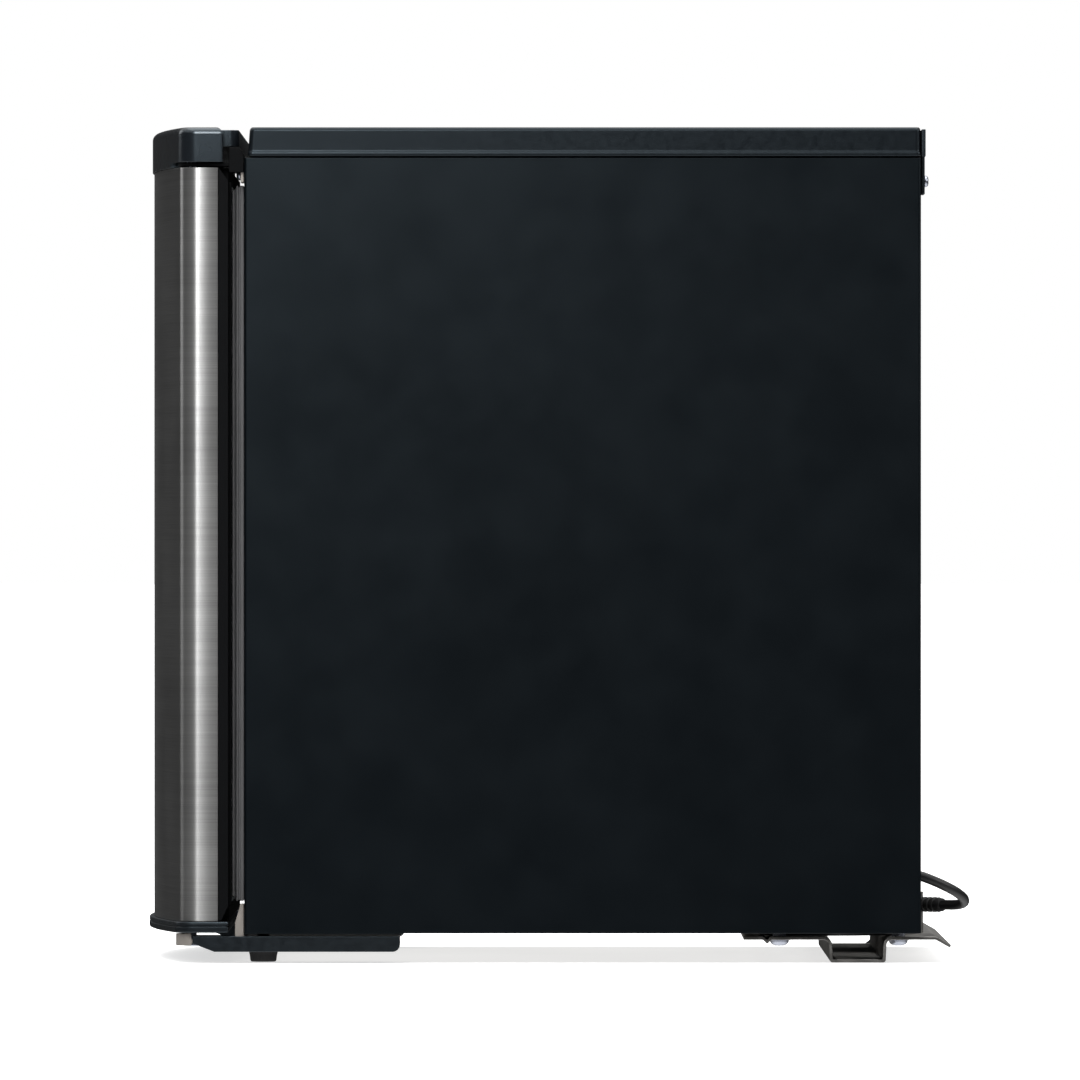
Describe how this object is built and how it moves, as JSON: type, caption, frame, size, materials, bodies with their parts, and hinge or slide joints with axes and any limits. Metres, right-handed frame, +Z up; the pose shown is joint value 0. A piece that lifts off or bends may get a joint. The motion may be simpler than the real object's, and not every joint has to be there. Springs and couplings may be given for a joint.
{
  "type": "mini fridge",
  "caption": "Compact black refrigerator with a bowed brushed-steel door hinged at the right, a freezer box, shelf, door bins, rear compressor and mains lead.",
  "frame": {"origin": "middle of the underside of the refrigerator's box, on the floor, without the mains lead", "axes": "+Z up; -Y towards the door's front; +X towards the hinge side"},
  "size_m": [0.445, 0.4964, 0.5],
  "materials": {
    "black_paint": "satin",
    "worktop_black": "satin",
    "zinc": "satin",
    "foam": "matte",
    "white_plastic": "satin",
    "black_plastic": "satin",
    "gloss_black": "gloss",
    "black_rubber": "matte",
    "grey_rubber": "matte",
    "compressor_paint": "gloss",
    "copper": "satin",
    "cord_black": "matte",
    "aluminium": "satin",
    "clear_plastic": "gloss",
    "shelf_glass": "gloss",
    "brushed_steel": "satin"
  },
  "bodies": {
    "cabinet": {"left_side_panel": "black_paint", "right_side_panel": "black_paint", "front_frame": "black_paint", "top_panel": "zinc", "bottom_panel": "zinc", "back_panel": "black_paint", "compressor_recess_panel": "zinc", "insulation_foam": "foam", "inner_liner": "white_plastic", "worktop": "worktop_black", "worktop_rear_trim": "black_plastic", "worktop_screw_left": "zinc", "worktop_screw_right": "zinc", "front_foot_bar_left": "black_paint", "front_foot_bar_right": "black_paint", "compressor_base_plate": "zinc", "compressor": "compressor_paint", "compressor_mount_1": "black_rubber", "compressor_mount_2": "black_rubber", "compressor_mount_3": "black_rubber", "compressor_mount_4": "black_rubber", "compressor_terminal_cover": "black_plastic", "suction_tube": "copper", "discharge_tube": "copper", "filter_drier": "copper", "cord_clamp": "zinc", "cord_strain_relief": "black_rubber", "internal_lead": "cord_black", "power_cord": "cord_black", "power_cord_coil": "cord_black", "power_plug": "cord_black", "evaporator_box": "aluminium", "thermostat_housing": "white_plastic", "top_hinge_bracket": "zinc", "top_hinge_pin": "zinc", "top_hinge_cover": "black_plastic", "bottom_hinge_bracket": "zinc", "bottom_hinge_pin": "zinc", "top_hinge_screw_left": "zinc", "top_hinge_screw_right": "zinc", "bottom_hinge_screw_left": "zinc", "bottom_hinge_screw_right": "zinc"},
    "door": {"door_skin": "brushed_steel", "door_foam": "foam", "door_top_cap": "gloss_black", "door_bottom_cap": "black_plastic", "door_trim_left": "black_plastic", "door_trim_right": "black_plastic", "door_liner": "white_plastic", "door_gasket": "grey_rubber", "door_hinge_bushing": "black_plastic"},
    "freezer_flap": {"freezer_flap": "clear_plastic"},
    "drip_tray": {"drip_tray": "clear_plastic"},
    "shelf": {"glass_shelf": "shelf_glass", "shelf_front_trim": "white_plastic"},
    "thermostat_knob": {"thermostat_knob": "white_plastic"},
    "levelling_foot_left": {"levelling_foot_left": "black_rubber"},
    "levelling_foot_right": {"levelling_foot_right": "black_rubber"},
    "door_upper_bin": {"door_upper_bin": "clear_plastic"},
    "door_lower_bin": {"door_lower_bin": "clear_plastic"}
  },
  "joints": [
    {"name": "door_hinge", "type": "hinge", "parent": "cabinet", "child": "door", "pos_m": [0.208, -0.2126, 0.25], "axis": [0, 0, 1], "range_deg": [0, 115]},
    {"name": "freezer_flap_hinge", "type": "hinge", "parent": "cabinet", "child": "freezer_flap", "pos_m": [0, -0.065, 0.441], "axis": [-1, 0, 0], "range_deg": [0, 85]},
    {"name": "drip_tray_slide", "type": "slide", "parent": "cabinet", "child": "drip_tray", "axis": [0, -1, 0], "range_m": [0, 0.09]},
    {"name": "shelf_slide", "type": "slide", "parent": "cabinet", "child": "shelf", "axis": [0, -1, 0], "range_m": [0, 0.06]},
    {"name": "thermostat_turn", "type": "hinge", "parent": "cabinet", "child": "thermostat_knob", "pos_m": [0.1685, -0.065, 0.396], "axis": [0, 1, 0], "range_deg": [-150, 150]},
    {"name": "levelling_foot_left_turn", "type": "hinge", "parent": "cabinet", "child": "levelling_foot_left", "pos_m": [-0.19, -0.17, 0.01], "axis": [0, 0, 1], "range_deg": [0, 1800]},
    {"name": "levelling_foot_right_turn", "type": "hinge", "parent": "cabinet", "child": "levelling_foot_right", "pos_m": [0.19, -0.17, 0.01], "axis": [0, 0, 1], "range_deg": [0, 1800]},
    {"name": "door_upper_bin_lift", "type": "slide", "parent": "door", "child": "door_upper_bin", "axis": [0, 0, 1], "range_m": [0, 0.012]},
    {"name": "door_lower_bin_lift", "type": "slide", "parent": "door", "child": "door_lower_bin", "axis": [0, 0, 1], "range_m": [0, 0.012]}
  ]
}
